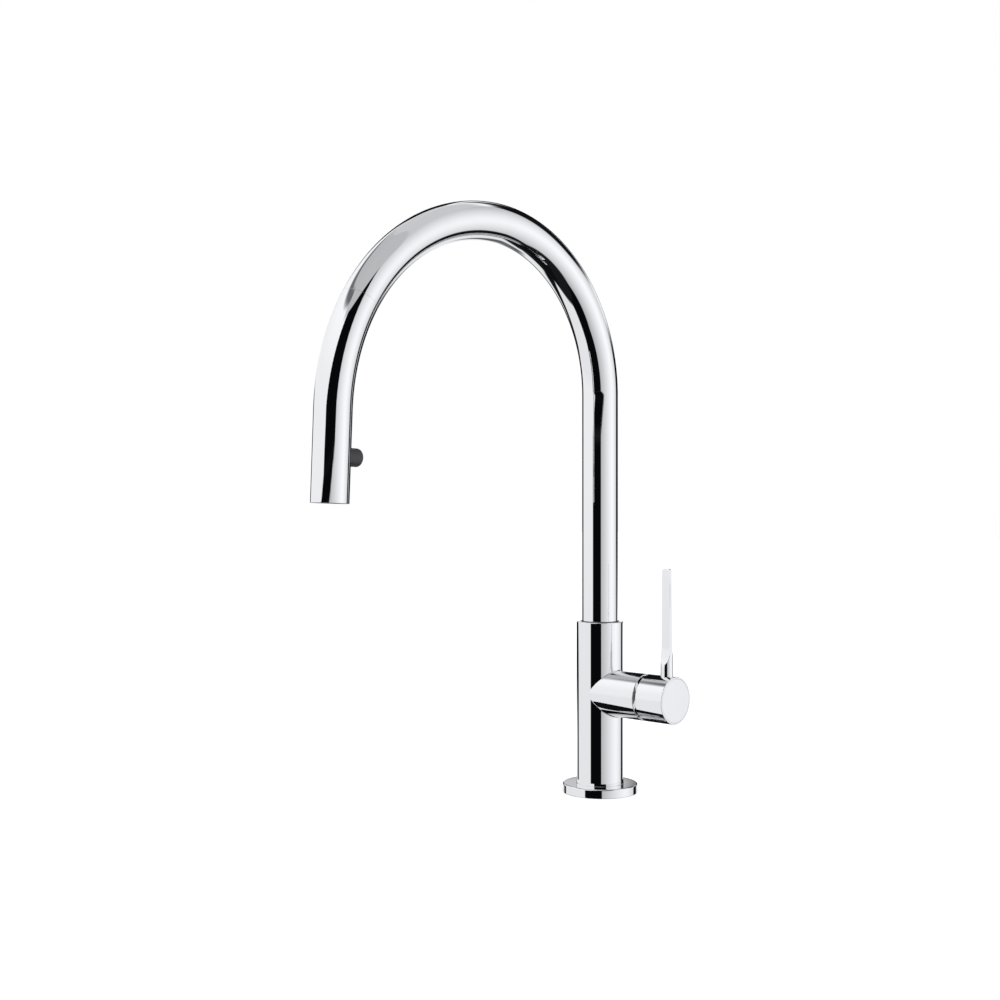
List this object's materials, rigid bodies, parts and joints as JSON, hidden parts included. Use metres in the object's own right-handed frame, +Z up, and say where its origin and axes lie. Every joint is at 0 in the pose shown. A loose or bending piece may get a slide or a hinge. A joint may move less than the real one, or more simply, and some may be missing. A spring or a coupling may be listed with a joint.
{
  "type": "kitchen faucet",
  "caption": "Kitchen faucet with a high arched swivel spout, a spray head that pulls down out of the arch, a push button on the head and a side lever.",
  "frame": {"origin": "centre of the base flange's underside, on the column axis, at the worktop", "axes": "+Z up the column, -Y towards the outlet, +X along the handle branch"},
  "size_m": [0.0925, 0.2792, 0.4745],
  "materials": {
    "chrome": "polished chrome plate",
    "brass": "machined brass",
    "steel": "turned stainless steel",
    "black_rubber": "moulded rubber",
    "grey_seal": "moulded rubber",
    "white_plastic": "acetal",
    "blue_plastic": "moulded plastic",
    "ceramic": "lapped alumina",
    "hose_braid": "braided nylon sleeve",
    "black_button": "satin black",
    "nozzle_grey": "silicone"
  },
  "bodies": {
    "faucet_body": {"main_body": "chrome", "base_flange": "chrome", "flange_gasket": "black_rubber", "threaded_shank": "brass", "deck_seal_washer": "black_rubber", "clamp_washer": "steel", "mounting_nut": "brass", "upper_glide_ring": "black_button", "thrust_ring": "white_plastic", "swivel_stop_screw": "steel", "hose_tail": "hose_braid", "hose_end_fitting": "brass", "cartridge_port_seal": "black_rubber", "cartridge_housing": "white_plastic", "fixed_ceramic_disc": "ceramic", "cartridge_ring_nut": "brass"},
    "spout": {"spout_tube": "chrome", "swivel_insert": "brass", "docking_bush": "white_plastic", "pull_hose": "hose_braid"},
    "spray_head": {"head_shell": "chrome", "head_inlet": "white_plastic", "docking_o_ring": "black_rubber", "hose_ferrule": "steel", "check_valve": "blue_plastic", "waterway_tube": "white_plastic", "valve_block": "white_plastic", "aerator": "white_plastic", "aerator_screen": "steel", "spray_plate": "nozzle_grey", "spray_plate_seal": "black_rubber", "button_spring": "steel"},
    "button": {"spray_button": "black_button", "diverter_spool": "brass", "spool_o_rings": "black_rubber"},
    "mixing_guide": {"cartridge_guide": "blue_plastic", "pivot_pin": "steel"},
    "ceramic_slide": {"moving_ceramic_disc": "ceramic", "disc_carrier": "blue_plastic"},
    "handle": {"handle_cap": "chrome", "cap_end_plate": "chrome", "lever_rod": "chrome", "cartridge_stem": "steel", "handle_set_screw": "steel", "set_screw_plug": "chrome"}
  },
  "joints": [
    {"name": "spout_swivel", "type": "hinge", "parent": "faucet_body", "child": "spout", "pos_m": [0, 0, 0], "axis": [0, 0, 1], "range_deg": [-75, 75]},
    {"name": "head_pull_out", "type": "slide", "parent": "spout", "child": "spray_head", "axis": [0, -0.5299, -0.848], "range_m": [0, 0.2], "stiffness_N_per_m": 20, "springref_m": -0.3, "deforming": ["pull_hose"]},
    {"name": "button_press", "type": "slide", "parent": "spray_head", "child": "button", "axis": [0, -0.999, 0.0436], "range_m": [0, 0.0025], "stiffness_N_per_m": 500, "springref_m": -0.003, "deforming": ["button_spring"]},
    {"name": "temperature_turn", "type": "hinge", "parent": "faucet_body", "child": "mixing_guide", "pos_m": [0.031, 0, 0.07], "axis": [1, 0, 0], "range_deg": [-45, 45]},
    {"name": "flow_tilt", "type": "hinge", "parent": "mixing_guide", "child": "handle", "pos_m": [0.031, 0, 0.07], "axis": [0, 1, 0], "range_deg": [0, 20]},
    {"name": "disc_slide", "type": "slide", "parent": "mixing_guide", "child": "ceramic_slide", "axis": [0, 0, 1], "range_m": [0, 0.0018]}
  ],
  "couplings": [
    {"joint": "disc_slide", "follows": "flow_tilt", "m_per_rad": 0.0047}
  ]
}
